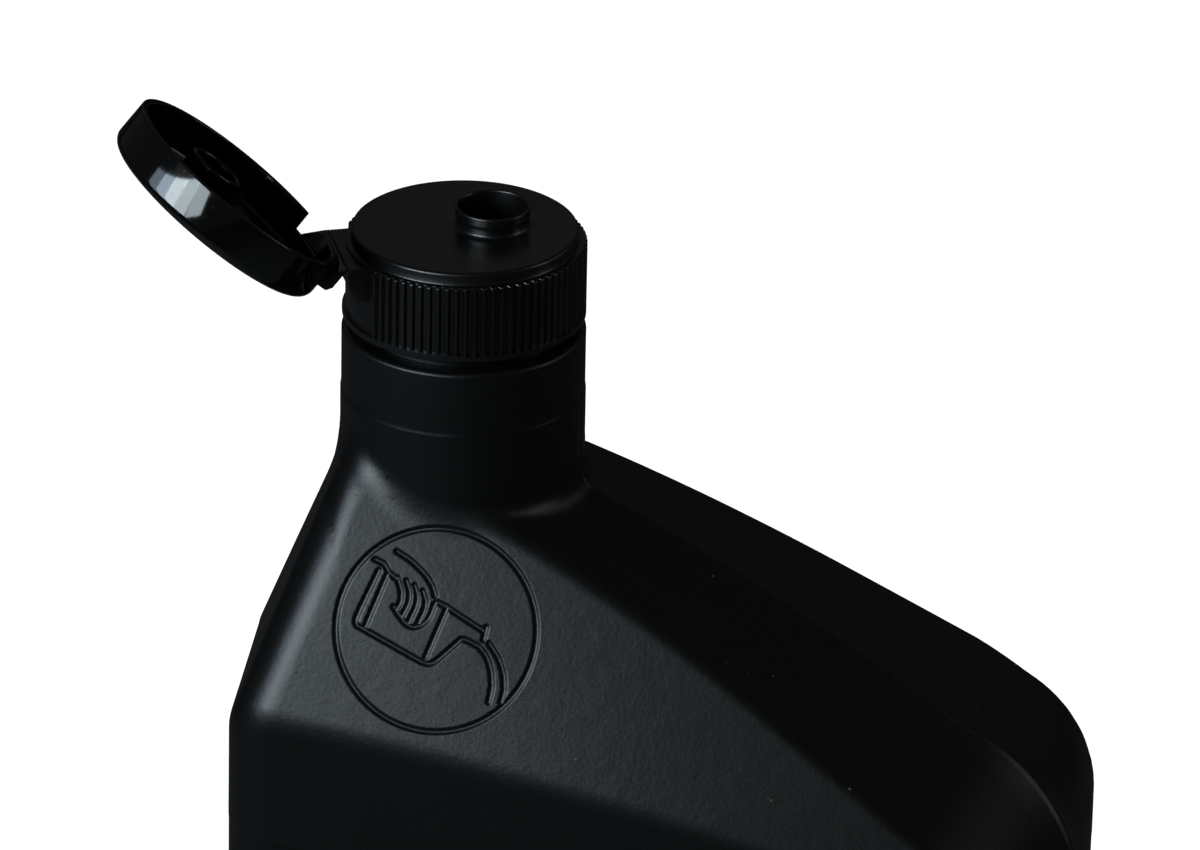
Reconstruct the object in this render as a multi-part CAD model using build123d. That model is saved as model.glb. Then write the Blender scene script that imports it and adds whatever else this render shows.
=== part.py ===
from build123d import *
import math
import os

# A two-litre sealant bottle, standing on its foot, with its flip-top closure open.
# All sizes are in millimetres. The origin is the middle of the foot, +Z points up,
# +X runs to the long end of the roof, and the front with its sloped face looks to -Y.

# Body of the bottle.
body_width = 146.0
body_depth = 78.4
deck_height = 255.0
neck_x = -36.0
wall = 1.4
side_draft = 6.9
left_corner_height = 169.0
left_slope = 68.9
roof_corner_height = 160.0
roof_slope = 30.8
left_corner_radius = 30.0
roof_corner_radius = 22.0
peak_radius = 12.0
soft_edge = 5.0
foot_edge = 6.0

# Sloped faces at the front and the back: where they start on the wall, and how they lean.
slope_foot_height = 172.7
slope_tilt = 25.7
slope_turn = 3.9

# Label panel that runs round the body, and the pushed-in bottom.
label_drop = 21.5
label_bottom = 24.0
label_depth = 0.6
foot_ring = 11.0
bottom_recess = 2.5
recess_corner = 14.0
pocket_draft = 30.0

# Neck and its threaded finish.
collar_drop = 16.0
neck_radius = 20.7
neck_step_drop = 27.8
neck_step = 0.3
neck_wall = 1.6
neck_root_drop = 75.0
collar_round = 0.8
collar_thickness = 2.6
finish_radius = 17.3
finish_bore = 15.2
mouth_round = 0.5

# Thread shared by the neck and the closure.
thread_pitch = 4.23
thread_turns = 1.25
neck_thread_height = 1.2
cap_thread_height = 1.1
thread_root = 1.8
thread_crest = 0.8
thread_start_drop = 5.2
thread_sink = 0.3

# Base of the closure.
deck_thickness = 1.4
gasket_thickness = 1.0
gasket_bore = 13.5
gasket_clearance = 0.45
cap_bore = 18.85
skirt_radius = 20.1
rib_height = 0.55
rib_width = 0.7
rib_count = 83
skirt_bottom_drop = 13.9
band_height = 1.7
ledge_drop = 2.15
land_radius = 19.15
land_chamfer = 0.35
hinge_azimuth = 206.6
plain_half_angle = 29.0

# Pouring spout.
spout_offset = 4.7
spout_radius = 6.35
spout_height = 3.6
spout_bore = 5.8
spout_root_flare = 0.3
spout_lip = 0.25
sleeve_depth = 2.6
sleeve_wall = 1.1

# Lid, drawn closed and then swung open about its film hinge.
lid_gap = 0.15
lid_radius = 20.9
lid_height = 8.0
lid_wall = 1.2
lid_top_round = 1.8
lid_inner_round = 0.8
plug_radius = 5.0
plug_wall = 0.9
plug_lead = 0.3
lid_open_angle = 139.9
hinge_radius = 21.66
hinge_drop = 2.28
hinge_half_width = 8.5
hinge_setback = 0.28
lid_pad_height = 4.0
cap_pad_height = 3.4
pad_slope_height = 2.6
pad_root = 4.6
lid_pad_slope = 0.05
lid_rib_width = 0.8
lid_rib_height = 0.6
plug_offset = 5.0
notch_rise = 3.2
notch_angle = 55.0

# Two points nearer than this are the same point.
same_place = 0.01

collar_height = deck_height - collar_drop
neck_step_height = deck_height - neck_step_drop
neck_lower_radius = neck_radius + neck_step
mouth_height = deck_height - deck_thickness - gasket_thickness
ledge_height = -ledge_drop
lid_rim_height = ledge_height + lid_gap
lid_bore = lid_radius - lid_wall
half_depth = body_depth / 2
half_width = body_width / 2
spout_direction = hinge_azimuth - 180.0
neck_thread_radius = finish_radius + neck_thread_height
cap_thread_radius = cap_bore - cap_thread_height


def disc(radius, bottom, top):
    """Upright cylinder between two heights."""
    return Pos(0, 0, bottom) * Cylinder(
        radius, top - bottom, align=(Align.CENTER, Align.CENTER, Align.MIN)
    )


def direction(slope):
    return math.cos(math.radians(slope)), math.sin(math.radians(slope))


def front_outline(inset):
    """Outline of the body in its parting plane: left shoulder, peak under the neck, long roof."""
    left_run, left_rise = direction(left_slope)
    right_run, right_rise = direction(180.0 - roof_slope)
    left = (-half_width, left_corner_height)
    right = (half_width, roof_corner_height)
    # The peak is where the left shoulder line and the roof line cross.
    across = right[0] - left[0]
    rise = right[1] - left[1]
    reach = (across * right_rise - rise * right_run) / (
        left_run * right_rise - left_rise * right_run
    )
    peak = (left[0] + reach * left_run, left[1] + reach * left_rise)
    # It runs on below the foot, so that the drafted bottom falls away and a level cut ends it.
    below = -half_depth
    outline = make_face(
        Polyline(left, peak, right, (half_width, below), (-half_width, below), close=True)
    )
    rounds = ((left, left_corner_radius), (peak, peak_radius), (right, roof_corner_radius))
    for corner, radius in rounds:
        nearest = outline.vertices().sort_by_distance((corner[0], corner[1], 0))[0]
        outline = fillet(nearest, radius)
    return offset(outline, -inset) if inset else outline


def slope_plane(inset):
    """Plane of the sloped front face, with its normal pointing out."""
    run, lift = direction(slope_tilt)
    ahead, aside = direction(slope_turn)
    normal = Vector(aside * run, -ahead * run, lift)
    foot = Vector(neck_x, -half_depth, slope_foot_height)
    return Plane(origin=foot - normal * inset, z_dir=normal)


def edges_in_plane(shape, plane):
    found = []
    for edge in shape.edges():
        points = [edge.position_at(share) for share in (0.0, 0.5, 1.0)]
        if all(abs(plane.to_local_coords(point).Z) < same_place for point in points):
            found.append(edge)
    return found


def edges_round_neck(shape, radius):
    """Edges where the neck leaves the shoulder, without the cylinder's own seam and ends."""
    found = []
    for edge in shape.edges():
        points = [edge.position_at(share) for share in (0.1, 0.5, 0.9)]
        gaps = [abs(math.hypot(point.X - neck_x, point.Y) - radius) for point in points]
        slanted = edge.bounding_box().size.Z > same_place
        if max(gaps) < same_place and slanted and edge.geom_type != GeomType.LINE:
            found.append(edge)
    return found


def front_half(inset, neck_inset=None):
    """Front half of the body: drafted outline, sloped face, soft edges, and the neck if asked."""
    outline = Plane.XZ * front_outline(inset)
    half = extrude(outline, amount=half_depth - inset, taper=side_draft)
    face = slope_plane(inset)
    front = Plane.XZ.offset(half_depth - inset)
    base = Plane.XY.offset(inset)
    half = split(half, bisect_by=face, keep=Keep.BOTTOM)
    half = split(half, bisect_by=base, keep=Keep.TOP)
    blend = []
    if neck_inset is not None:
        radius = neck_lower_radius - neck_inset
        column = Pos(neck_x, 0, 0) * disc(radius, deck_height - neck_root_drop, neck_step_height)
        half += split(column, bisect_by=Plane.XZ, keep=Keep.TOP)
        blend = edges_round_neck(half, radius)
    foot = edges_in_plane(half, base)
    outer = edges_in_plane(half, face) + edges_in_plane(half, front)
    soft = [edge for edge in outer if edge not in foot and edge not in blend]
    half = fillet(soft + blend, soft_edge - inset)
    foot = edges_in_plane(half, base)
    parting = edges_in_plane(half, Plane.XZ)
    return fillet([edge for edge in foot if edge not in parting], foot_edge - inset)


def both_halves(half):
    return half + mirror(half, Plane.XZ)


def label_band(grow):
    """Slanted slab that holds the label panel; its top runs along the lower crease."""
    fall = direction(slope_turn)[1] / math.tan(math.radians(slope_tilt))
    top = slope_foot_height - label_drop + grow
    reach = 2 * body_width
    corners = (
        (neck_x - reach, top + fall * reach),
        (neck_x + reach, top - fall * reach),
        (neck_x + reach, label_bottom - grow),
        (neck_x - reach, label_bottom - grow),
    )
    slab = Plane.XZ * make_face(Polyline(*corners, close=True))
    return extrude(slab, amount=body_depth, both=True)


def bottom_pocket(grow):
    """Pushed-in middle of the bottom, inside the ring that the bottle stands on."""
    margin = 2 * (foot_ring - grow)
    plan = RectangleRounded(body_width - margin, body_depth - margin, recess_corner + grow)
    return extrude(plan, amount=bottom_recess + grow, taper=pocket_draft)


def body_skin(inset, neck_inset):
    """Body and lower neck, with the label panel set back all the way round."""
    band = label_band(inset)
    skin = both_halves(front_half(inset, neck_inset)) - band
    panel = both_halves(front_half(inset + label_depth)) & band
    return skin + panel - bottom_pocket(inset)


def thread(root_radius, crest_radius, bottom):
    """Right-hand helical ridge round the neck's axis, sunk a little into the wall it grows from."""
    outward = 1 if crest_radius > root_radius else -1
    sunk = root_radius - outward * thread_sink
    path = Helix(thread_pitch, thread_pitch * thread_turns, sunk)
    crest = outward * abs(crest_radius - sunk)
    plane = Plane(origin=path.position_at(0), x_dir=(1, 0, 0), z_dir=(0, 1, 0))
    section = plane * make_face(
        Polyline(
            (0, -thread_root / 2),
            (crest, -thread_crest / 2),
            (crest, thread_crest / 2),
            (0, thread_root / 2),
            close=True,
        )
    )
    return Pos(neck_x, 0, bottom) * sweep(section, path=path, is_frenet=True)


def neck_thread_bottom():
    return deck_height - thread_start_drop - thread_pitch * thread_turns


def bottle():
    """Blow-moulded bottle: one hollow skin from the foot to the threaded mouth."""
    column = disc(neck_radius, neck_step_height, collar_height)
    column = fillet(column.edges().group_by(Axis.Z)[-1], collar_round)
    finish = disc(finish_radius, collar_height, mouth_height)
    finish = fillet(finish.edges().group_by(Axis.Z)[-1], mouth_round)
    bore = disc(finish_bore, collar_height - collar_thickness, mouth_height)
    upper_bore = disc(
        neck_lower_radius - neck_wall, neck_step_height, collar_height - collar_thickness
    )
    shell = body_skin(0.0, 0.0) + Pos(neck_x, 0, 0) * (column + finish)
    shell -= body_skin(wall, neck_wall)
    shell -= Pos(neck_x, 0, 0) * (bore + upper_bore)
    return shell + thread(finish_radius, neck_thread_radius, neck_thread_bottom())


def on_cap_axis(shape):
    """Moves a closure piece from its own frame, x from hinge to spout and z = 0 on the deck."""
    return Pos(neck_x, 0, deck_height) * Rot(0, 0, spout_direction) * shape


def ribs():
    """Grip ribs round the skirt, left off beside the hinge."""
    step = 360.0 / rib_count
    rib = Pos(skirt_radius, 0, 0) * Rectangle(2 * rib_height, rib_width)
    angles = [step * (i + 0.5) for i in range(rib_count)]
    turned = [Rot(0, 0, a) * rib for a in angles if abs(a - 180.0) > plain_half_angle]
    bottom = band_height - skirt_bottom_drop
    return extrude(Pos(0, 0, bottom) * (Sketch() + turned), amount=ledge_height - bottom)


def hinge_pad(profile):
    """Flat pad beside the film hinge, as wide as the film."""
    return extrude(Plane.XZ * make_face(Polyline(*profile, close=True)), hinge_half_width, both=True)


def cap_hinge_pad():
    top = -hinge_drop - hinge_setback
    bottom = top - cap_pad_height
    return hinge_pad(
        (
            (-hinge_radius, top),
            (-hinge_radius, bottom),
            (-skirt_radius, bottom - pad_slope_height),
            (pad_root - hinge_radius, bottom - pad_slope_height),
            (pad_root - hinge_radius, top),
        )
    )


def spout():
    """Short pouring tube on the deck, with a sleeve under it."""
    outline = Polyline(
        (spout_bore, -sleeve_depth),
        (spout_bore + sleeve_wall, -sleeve_depth),
        (spout_bore + sleeve_wall, 0),
        (spout_radius, spout_root_flare),
        (spout_radius, spout_height),
        (spout_bore, spout_height),
        close=True,
    )
    tube = revolve(Plane.XZ * make_face(outline), Axis.Z)
    rim = tube.edges().group_by(Axis.Z)[-1]
    return Pos(spout_offset, 0, 0) * fillet(rim, spout_lip)


def flip_cap():
    """Base of the closure: ribbed skirt, deck with its spout, thread and hinge pad."""
    land = disc(land_radius, ledge_height, 0)
    land = chamfer(land.edges().group_by(Axis.Z)[-1], land_chamfer)
    skirt = disc(skirt_radius, -skirt_bottom_drop, ledge_height)
    band = disc(skirt_radius + rib_height, -skirt_bottom_drop, band_height - skirt_bottom_drop)
    cap = skirt + band + ribs() + land + cap_hinge_pad()
    cap -= disc(cap_bore, -skirt_bottom_drop, -deck_thickness)
    cap -= Pos(spout_offset, 0, 0) * disc(spout_bore, -sleeve_depth, spout_height)
    cap = on_cap_axis(cap + spout())
    return cap + thread(cap_bore, cap_thread_radius, neck_thread_bottom() - thread_pitch / 2)


def cap_gasket():
    """Soft ring between the mouth of the neck and the deck."""
    outside = disc(cap_bore - gasket_clearance, -deck_thickness - gasket_thickness, -deck_thickness)
    return on_cap_axis(outside - disc(gasket_bore, -skirt_bottom_drop, 0))


def lid_hinge_pad():
    top = lid_rim_height + lid_pad_height
    return hinge_pad(
        (
            (-hinge_radius, lid_rim_height),
            (-hinge_radius, top),
            (-lid_radius, top + lid_radius * lid_pad_slope),
            (pad_root - hinge_radius, top + lid_radius * lid_pad_slope),
            (pad_root - hinge_radius, lid_rim_height),
        )
    )


def lid_notch():
    """Window cut from the rim beside the hinge, on the side away from the front."""
    far = lid_radius * math.sin(math.radians(notch_angle))
    near = lid_radius * math.cos(math.radians(notch_angle))
    cut = Plane.YZ * make_face(
        Polyline(
            (hinge_half_width, lid_rim_height),
            (far, lid_rim_height + notch_rise),
            (far, lid_rim_height - notch_rise),
            (hinge_half_width, lid_rim_height - notch_rise),
            close=True,
        )
    )
    return Pos(-near, 0, 0) * extrude(cut, -lid_radius)


def closed_lid():
    """Lid in its shut place: cup, sealing plug, stiffening rib and hinge pad."""
    ceiling = lid_rim_height + lid_height - lid_wall
    cup = disc(lid_radius, lid_rim_height, lid_rim_height + lid_height)
    cup = fillet(cup.edges().group_by(Axis.Z)[-1], lid_top_round)
    hollow = disc(lid_bore, lid_rim_height, ceiling)
    hollow = fillet(hollow.edges().group_by(Axis.Z)[-1], lid_inner_round)
    plug = disc(plug_radius, lid_rim_height, ceiling)
    plug = chamfer(plug.edges().group_by(Axis.Z)[0], plug_lead)
    plug -= disc(plug_radius - plug_wall, lid_rim_height, ceiling)
    rib_length = lid_bore + plug_offset - plug_radius
    rib = Pos(-lid_bore, 0, ceiling) * Box(
        rib_length, lid_rib_width, lid_rib_height, align=(Align.MIN, Align.CENTER, Align.MAX)
    )
    lid = cup + lid_hinge_pad() - hollow + Pos(plug_offset, 0, 0) * plug + rib
    return lid - lid_notch()


def flip_lid():
    """Lid swung open about its hinge line."""
    hinge = Axis((-hinge_radius, 0, -hinge_drop), (0, -1, 0))
    return on_cap_axis(closed_lid().rotate(hinge, lid_open_angle))


def pieces():
    return {
        "bottle": bottle(),
        "cap_gasket": cap_gasket(),
        "flip_cap": flip_cap(),
        "flip_lid": flip_lid(),
    }


os.makedirs("parts", exist_ok=True)
for name, piece in pieces().items():
    piece.label = name
    export_step(piece, f"parts/{name}.step")
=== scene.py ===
# %% [markdown]
# # A two-litre sealant bottle with a flip-top closure
# The bottle is blow moulded from black polyethylene, and its closure is injection moulded in
# one shot: a ribbed base with a short spout, and a lid on a film hinge. The CAD model gives
# every size and every moving body, and this lesson gives the bottle the skin, the grain and
# the fine marks that the mould leaves. We start by loading the CAD model as a fixed frame.

# %% Load the frame
import math

import bmesh
import bpy
import numpy as np
from mathutils import Matrix, Vector


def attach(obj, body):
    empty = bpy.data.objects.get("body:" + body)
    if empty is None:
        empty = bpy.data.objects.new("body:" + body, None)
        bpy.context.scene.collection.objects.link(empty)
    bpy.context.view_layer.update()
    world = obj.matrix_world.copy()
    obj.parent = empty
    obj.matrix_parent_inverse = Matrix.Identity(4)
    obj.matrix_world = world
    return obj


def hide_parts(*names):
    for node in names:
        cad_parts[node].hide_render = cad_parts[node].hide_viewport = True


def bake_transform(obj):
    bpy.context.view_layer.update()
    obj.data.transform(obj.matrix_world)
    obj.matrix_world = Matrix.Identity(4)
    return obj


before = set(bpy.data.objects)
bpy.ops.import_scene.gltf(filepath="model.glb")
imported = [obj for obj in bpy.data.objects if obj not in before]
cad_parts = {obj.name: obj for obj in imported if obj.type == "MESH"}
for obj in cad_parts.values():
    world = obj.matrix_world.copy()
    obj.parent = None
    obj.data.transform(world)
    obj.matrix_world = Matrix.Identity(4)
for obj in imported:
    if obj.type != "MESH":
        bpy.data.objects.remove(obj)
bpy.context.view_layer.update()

# %% [markdown]
# ## One frame for everything
# The CAD is drawn in millimetres and Blender works in metres, so shapes are worked out in
# millimetres and scaled once, when a mesh is made. The neck's axis stands off the middle of
# the body, and the closure has a frame of its own: x runs from the hinge to the spout and
# z = 0 lies on the deck.

# %% Shared sizes and places
MM = 0.001
NECK_X = -36.0
DECK_HEIGHT = 255.0
SPOUT_AZIMUTH = math.radians(26.6)
CAP_X = np.array([math.cos(SPOUT_AZIMUTH), math.sin(SPOUT_AZIMUTH), 0.0])
CAP_Y = np.array([-math.sin(SPOUT_AZIMUTH), math.cos(SPOUT_AZIMUTH), 0.0])
CAP_Z = np.array([0.0, 0.0, 1.0])
CAP_ORIGIN = np.array([NECK_X, 0.0, DECK_HEIGHT])


def on_cap(points):
    """Places points of the closure's own frame on the bottle."""
    points = np.asarray(points, float)
    x, y, z = points[..., :1], points[..., 1:2], points[..., 2:3]
    return CAP_ORIGIN + x * CAP_X + y * CAP_Y + z * CAP_Z


print("spout direction", CAP_X.round(3), "deck at", DECK_HEIGHT, "mm")

# %% [markdown]
# ## Shader maths as plain expressions
# A material is a graph of nodes, and a formula drawn in nodes is hard to read. This small
# class wraps a socket, so that an expression such as `0.3 + 0.1 * grain` adds the Math nodes
# by itself. Colours go through Mix nodes, because a Math node would turn them grey.

# %% A socket that can be added and multiplied
class Socket:
    """Output of a node. Arithmetic on it adds Math nodes to the same tree."""

    def __init__(self, finish, output):
        self.finish = finish
        self.output = output

    def math(self, operation, *others):
        inputs = dict(enumerate((self, *others)))
        return self.finish.add("ShaderNodeMath", {"operation": operation}, inputs)

    def reversed(self, operation, first):
        return self.finish.add("ShaderNodeMath", {"operation": operation}, {0: first, 1: self})

    def __add__(self, other):
        return self.math("ADD", other)

    def __sub__(self, other):
        return self.math("SUBTRACT", other)

    def __mul__(self, other):
        return self.math("MULTIPLY", other)

    def __truediv__(self, other):
        return self.math("DIVIDE", other)

    def __rsub__(self, other):
        return self.reversed("SUBTRACT", other)

    def __rtruediv__(self, other):
        return self.reversed("DIVIDE", other)

    __radd__ = __add__
    __rmul__ = __mul__

    def clamped(self, low=0.0, high=1.0):
        return self.math("MAXIMUM", low).math("MINIMUM", high)


class Nodes:
    """A tree of shader nodes, with one way to add a node to it."""

    def __init__(self, tree):
        self.tree = tree

    def plug(self, socket, value):
        if isinstance(value, Socket):
            self.tree.links.new(value.output, socket)
        else:
            socket.default_value = value

    def add(self, kind, settings=None, inputs=None, output=0):
        """Adds a node: its settings first, then the values or links of its sockets."""
        node = self.tree.nodes.new(kind)
        for key, value in (settings or {}).items():
            setattr(node, key, value)
        for key, value in (inputs or {}).items():
            self.plug(node.inputs[key], value)
        return Socket(self, node.outputs[output]) if len(node.outputs) else None

    def mix_colour(self, share, first, second):
        inputs = {"Factor": share, "A": first, "B": second}
        return self.add("ShaderNodeMix", {"data_type": "RGBA"}, inputs, "Result")


class Finish(Nodes):
    """A material and the shader that it is made of."""

    def __init__(self, name):
        self.material = bpy.data.materials.new(name)
        self.material.use_nodes = True
        super().__init__(self.material.node_tree)
        self.shader = self.tree.nodes["Principled BSDF"]
        self.surface = self.tree.nodes["Material Output"].inputs["Surface"]

    def set(self, **values):
        """Fills the shader's own sockets, named with underscores for spaces."""
        for key, value in values.items():
            self.plug(self.shader.inputs[key.replace("_", " ")], value)


print("shader expressions ready")

# %% [markdown]
# ## Meshes from rings of points
# Every moulded piece here is a skin that runs round an axis, so it can be given as a stack of
# rings with the same number of points. Neighbouring rings are joined by four-sided faces,
# which shade smoothly and keep the mesh light.

# %% Skin a stack of rings
def skin_faces(rings, points, closed=False):
    """Faces between neighbouring rings, as rows of four point numbers."""
    ring = np.arange(points)
    after = (ring + 1) % points
    last = rings if closed else rings - 1
    faces = []
    for level in range(last):
        low, high = level * points, ((level + 1) % rings) * points
        faces.append(np.stack([low + ring, low + after, high + after, high + ring], axis=1))
    return np.concatenate(faces)


def capped_faces(rings, points):
    """Faces between neighbouring rings, and one more over each end."""
    ends = [list(range(points))[::-1], list(range((rings - 1) * points, rings * points))]
    return skin_faces(rings, points).tolist() + ends


def mesh_to_edit(points, faces):
    """An editable mesh from points and rows of point numbers."""
    work = bmesh.new()
    verts = [work.verts.new(point) for point in points.tolist()]
    for face in faces:
        work.faces.new([verts[i] for i in face])
    return work


def joined_piece(name, skins, sharp_degrees=38.0):
    """One object from several skins, in millimetres, that belong to one moulding."""
    points, faces, first = [], [], 0
    for skin_points, skin_quads in skins:
        points.append(skin_points)
        faces += [[first + int(i) for i in face] for face in skin_quads]
        first += len(skin_points)
    mesh = bpy.data.meshes.new(name)
    mesh.from_pydata((np.concatenate(points) * MM).tolist(), [], faces)
    mesh.validate()
    mesh.shade_smooth()
    mesh.set_sharp_from_angle(angle=math.radians(sharp_degrees))
    work = bmesh.new()
    work.from_mesh(mesh)
    bmesh.ops.recalc_face_normals(work, faces=work.faces)
    work.to_mesh(mesh)
    work.free()
    piece = bpy.data.objects.new(name, mesh)
    bpy.context.scene.collection.objects.link(piece)
    return piece


print("ring skinning ready")

# %% [markdown]
# ## The camera
# The photograph looks down on the shoulder from the front, a little from the right. A long
# lens at over a metre keeps the bottle's upright edges nearly parallel, as they are there.
# Every direction in this lesson is an azimuth from the front and an elevation, in degrees.

# %% Camera at the photograph's angle
CAMERA_PLACE = Vector((0.279121, -1.261145, 0.852277))
CAMERA_TURN, CAMERA_ELEVATION, CAMERA_ROLL = 13.0, 26.0, math.radians(1.2)
LENS, SENSOR, FAR_CLIP = 255.31, 36.0, 20.0


def towards(azimuth, elevation):
    """Direction from an azimuth, positive to the right, and an elevation."""
    turn, lift = math.radians(azimuth), math.radians(elevation)
    return math.sin(turn) * math.cos(lift), -math.cos(turn) * math.cos(lift), math.sin(lift)


back = Vector(towards(CAMERA_TURN, CAMERA_ELEVATION))
level = Vector(towards(CAMERA_TURN + 90.0, 0.0))
upright = back.cross(level)
right = math.cos(CAMERA_ROLL) * level + math.sin(CAMERA_ROLL) * upright
up = math.cos(CAMERA_ROLL) * upright - math.sin(CAMERA_ROLL) * level
camera_data = bpy.data.cameras.new("camera")
camera_data.lens = LENS
camera_data.sensor_width = SENSOR
camera_data.sensor_fit = "HORIZONTAL"
camera_data.clip_end = FAR_CLIP
camera = bpy.data.objects.new("camera", camera_data)
axes = Matrix((right, up, back)).transposed().to_4x4()
camera.matrix_world = Matrix.Translation(CAMERA_PLACE) @ axes
bpy.context.scene.collection.objects.link(camera)
bpy.context.scene.camera = camera
bpy.context.scene.view_settings.view_transform = "Standard"
print("camera", round(CAMERA_PLACE.length, 3), "m from the foot")

# %% [markdown]
# ## Studio light
# Black plastic has hardly any colour of its own: what we see is the light that it reflects.
# Five panes of a cool window stand close at the front left, where the lid's wall mirrors them,
# and each has a strength of its own. A weak broad sheet in front fills the sloped face, and a
# tall strip at the right makes the bead of the parting line shine. Two weaker sheets stand
# behind, and the room is dim. The floor and the background are white to the camera alone.

# %% Softboxes
LID_PLACE = Vector((-0.09, -0.02, 0.255))
SHOULDER_PLACE = Vector((0.0, -0.03, 0.20))
COOL, BLUE = (0.80, 0.94, 1.0), (0.68, 0.83, 1.0)
PLAIN, WARM = (1.0, 0.99, 0.97), (1.0, 0.92, 0.86)
FIRST_PANE, PANE_WIDTH, PANE_GAP = -4.0, 11.2, 0.8
PANE_ELEVATION, PANE_DISTANCE, PANE_HEIGHT = 21.0, 0.6, 0.22
PANES = ((7.5, COOL), (10.0, COOL), (14.0, COOL), (8.5, BLUE), (3.0, BLUE))
# Azimuth, elevation, distance, width, height, radiance and tint of each sheet
SHEETS = {
    "front_sheet": (-22.0, 38.0, 1.7, 1.5, 0.9, 0.16, PLAIN),
    "back_right_sheet": (124.0, 22.0, 1.4, 0.5, 0.5, 0.35, WARM),
    "back_left_sheet": (-158.0, 28.0, 1.5, 1.0, 0.6, 0.035, PLAIN),
    "side_strip": (98.0, 20.0, 1.1, 0.20, 0.75, 1.8, WARM),
}


def softbox(name, aim, azimuth, elevation, distance, width, height, radiance, tint):
    """Rectangular light that faces its aim; angles in degrees and lengths in metres."""
    away = Vector(towards(azimuth, elevation))
    light = bpy.data.lights.new(name, "AREA")
    light.shape = "RECTANGLE"
    light.size, light.size_y = width, height
    light.energy = radiance * math.pi * width * height
    light.color = tint
    lamp = bpy.data.objects.new(name, light)
    lamp.location = aim + away * distance
    lamp.rotation_euler = away.to_track_quat("Z", "Y").to_euler()
    bpy.context.scene.collection.objects.link(lamp)


width = 2 * PANE_DISTANCE * math.tan(math.radians(PANE_WIDTH / 2))
for pane, shine in enumerate(PANES):
    azimuth = FIRST_PANE - (PANE_WIDTH + PANE_GAP) * (pane + 0.5)
    stand = (azimuth, PANE_ELEVATION, PANE_DISTANCE, width, PANE_HEIGHT)
    softbox(f"window_pane_{pane}", LID_PLACE, *stand, *shine)
for name, values in SHEETS.items():
    softbox(name, SHOULDER_PLACE, *values)

# %% Room and floor
ROOM_COLOUR, ROOM_STRENGTH = (1.0, 0.98, 0.97, 1.0), 0.032
WHITE, PAPER, DARK_PAPER = (1.0, 1.0, 1.0, 1.0), (0.8, 0.8, 0.8, 1.0), (0.16, 0.16, 0.16, 1.0)
GLOW_AT_FOOT, GLOW_START, GLOW_RUN = 0.62, 0.12, 0.18
FLOOR_REACH = 12.0

world = bpy.data.worlds.new("studio")
world.use_nodes = True
bpy.context.scene.world = world
sky = Nodes(world.node_tree)
sky.tree.nodes.clear()
room = sky.add("ShaderNodeBackground", {}, {"Color": ROOM_COLOUR, "Strength": ROOM_STRENGTH})
white = sky.add("ShaderNodeBackground", {}, {"Color": WHITE, "Strength": 1.0})
seen = sky.add("ShaderNodeLightPath", {}, {}, "Is Camera Ray")
shown = sky.add("ShaderNodeMixShader", {}, {0: seen, 1: room, 2: white})
sky.add("ShaderNodeOutputWorld", {}, {"Surface": shown})

floor_finish = Finish("floor_paper")
floor_finish.set(Base_Color=DARK_PAPER, Roughness=0.9, Specular_IOR_Level=0.1)
paper = floor_finish.add("ShaderNodeBsdfDiffuse", {}, {"Color": PAPER})
place = floor_finish.add("ShaderNodeNewGeometry", {}, {}, "Position")
distance = floor_finish.add("ShaderNodeVectorMath", {"operation": "LENGTH"}, {0: place}, "Value")
far_share = ((distance - GLOW_START) / GLOW_RUN).clamped()
strength = GLOW_AT_FOOT + (1.0 - GLOW_AT_FOOT) * far_share
glow = floor_finish.add("ShaderNodeEmission", {}, {"Color": WHITE, "Strength": strength})
pale = floor_finish.add("ShaderNodeAddShader", {}, {0: paper, 1: glow})
dark = Socket(floor_finish, floor_finish.shader.outputs[0])
seen = floor_finish.add("ShaderNodeLightPath", {}, {}, "Is Camera Ray")
shown = floor_finish.add("ShaderNodeMixShader", {}, {0: seen, 1: dark, 2: pale})
floor_finish.plug(floor_finish.surface, shown)

corners = [(-1, -1), (1, -1), (1, 1), (-1, 1)]
floor_points = [(x * FLOOR_REACH, y * FLOOR_REACH, 0.0) for x, y in corners]
floor_mesh = bpy.data.meshes.new("floor")
floor_mesh.from_pydata(floor_points, [], [(0, 1, 2, 3)])
floor = bpy.data.objects.new("floor", floor_mesh)
floor.data.materials.append(floor_finish.material)
bpy.context.scene.collection.objects.link(floor)
print("floor", 2 * FLOOR_REACH, "m wide")

# %% [markdown]
# ## The bottle's skin as a distance
# A blow-moulded skin has no sharp edge anywhere: the hot plastic rolls over every corner of
# the mould. Modelling that with bevels is fragile where three or four edges meet, so this
# skin is described the way a mould maker thinks of it: flat faces, a ball that rolls along
# each outer edge, and a soft fill in each inner corner. Each function gives how far a point
# lies outside the skin.

# %% Rolling-ball edges
def round_edge(first, second, cosine, radius):
    """Outer corner of two faces, with the cosine between their normals, rolled by a ball."""
    sine_squared = 1.0 - cosine**2
    a, b = first + radius, second + radius
    share_a = a - b * cosine
    share_b = b - a * cosine
    reach = np.sqrt(np.maximum(a**2 + b**2 - 2 * a * b * cosine, 0.0) / sine_squared) - radius
    return np.where((share_a > 0) & (share_b > 0), reach, np.maximum(first, second))


def fill_corner(first, second, reach):
    """Inner corner of two joined solids, filled softly where their distances are alike."""
    share = np.maximum(reach - np.abs(first - second), 0.0) / reach
    return np.minimum(first, second) - share**2 * reach / 4.0


def gradient(distance, place, step=0.02):
    """Direction in which a distance grows, by small steps along x, y and z."""
    x, y, z = place
    parts = (
        distance(x + step, y, z) - distance(x - step, y, z),
        distance(x, y + step, z) - distance(x, y - step, z),
        distance(x, y, z + step) - distance(x, y, z - step),
    )
    length = np.sqrt(sum(part**2 for part in parts)) + 1e-12
    return [part / length for part in parts]


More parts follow.
